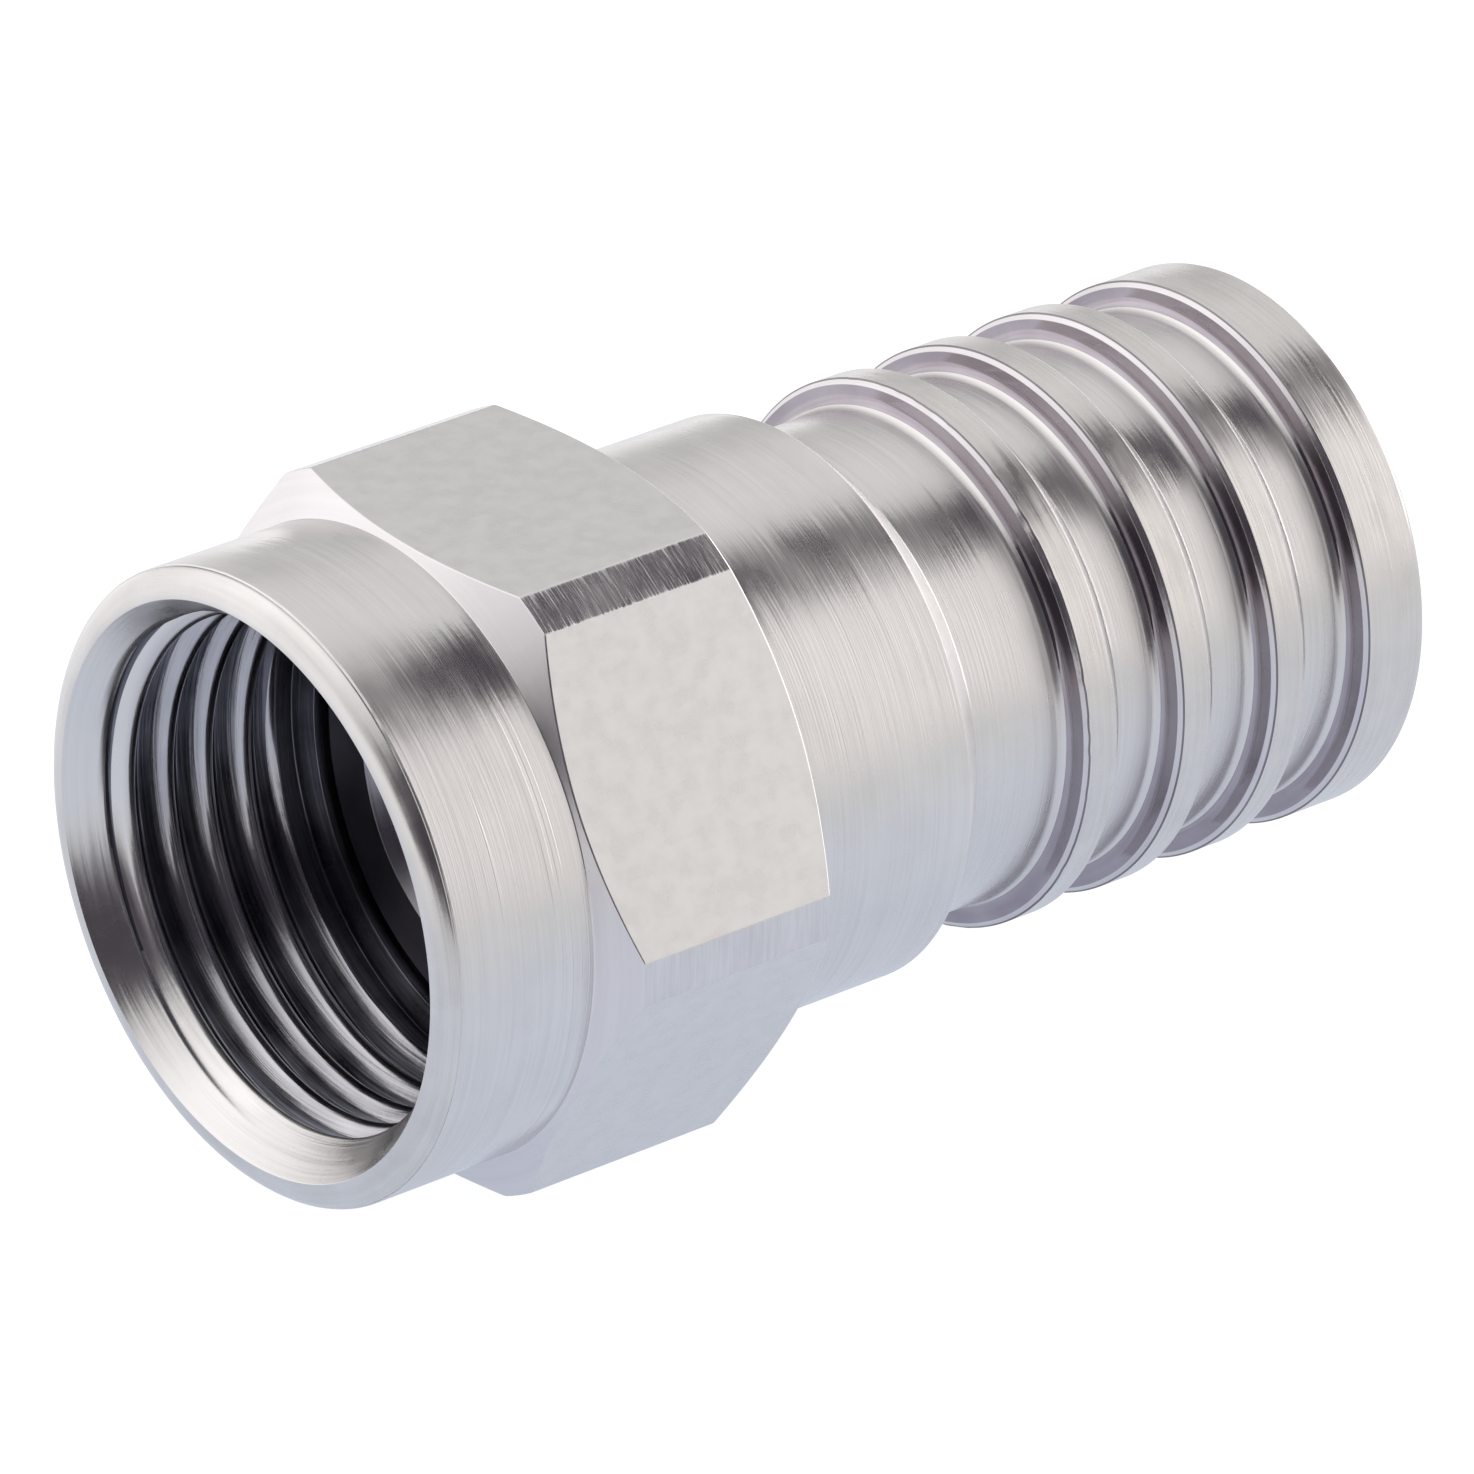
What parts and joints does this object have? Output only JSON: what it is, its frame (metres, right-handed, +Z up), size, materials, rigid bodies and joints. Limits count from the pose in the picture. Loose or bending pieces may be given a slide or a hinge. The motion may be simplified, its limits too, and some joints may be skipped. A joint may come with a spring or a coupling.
{
  "type": "f connector",
  "caption": "F-type coaxial crimp connector with a free-turning hexagon coupling nut, a flanged hollow post and a ribbed crimp sleeve.",
  "frame": {"origin": "centre of the post flange's front face, the plane the mating connector seats on", "axes": "+X along the connector's axis from the nut's mouth to the cable end, +Z up out of one of the hexagon's flats"},
  "size_m": [0.0211, 0.0124, 0.011],
  "materials": {
    "nut_nickel": "brass with bright nickel plate over turning marks",
    "body_nickel": "brass with satin nickel plate over turning marks",
    "post_nickel": "brass with dull nickel plate"
  },
  "bodies": {
    "plug": {"post": "post_nickel", "crimp_sleeve": "body_nickel"},
    "nut": {"coupling_nut": "nut_nickel"}
  },
  "joints": [
    {"name": "nut_swivel", "type": "hinge", "parent": "plug", "child": "nut", "pos_m": [0.00195, 0, 0], "axis": [1, 0, 0], "continuous": true}
  ]
}
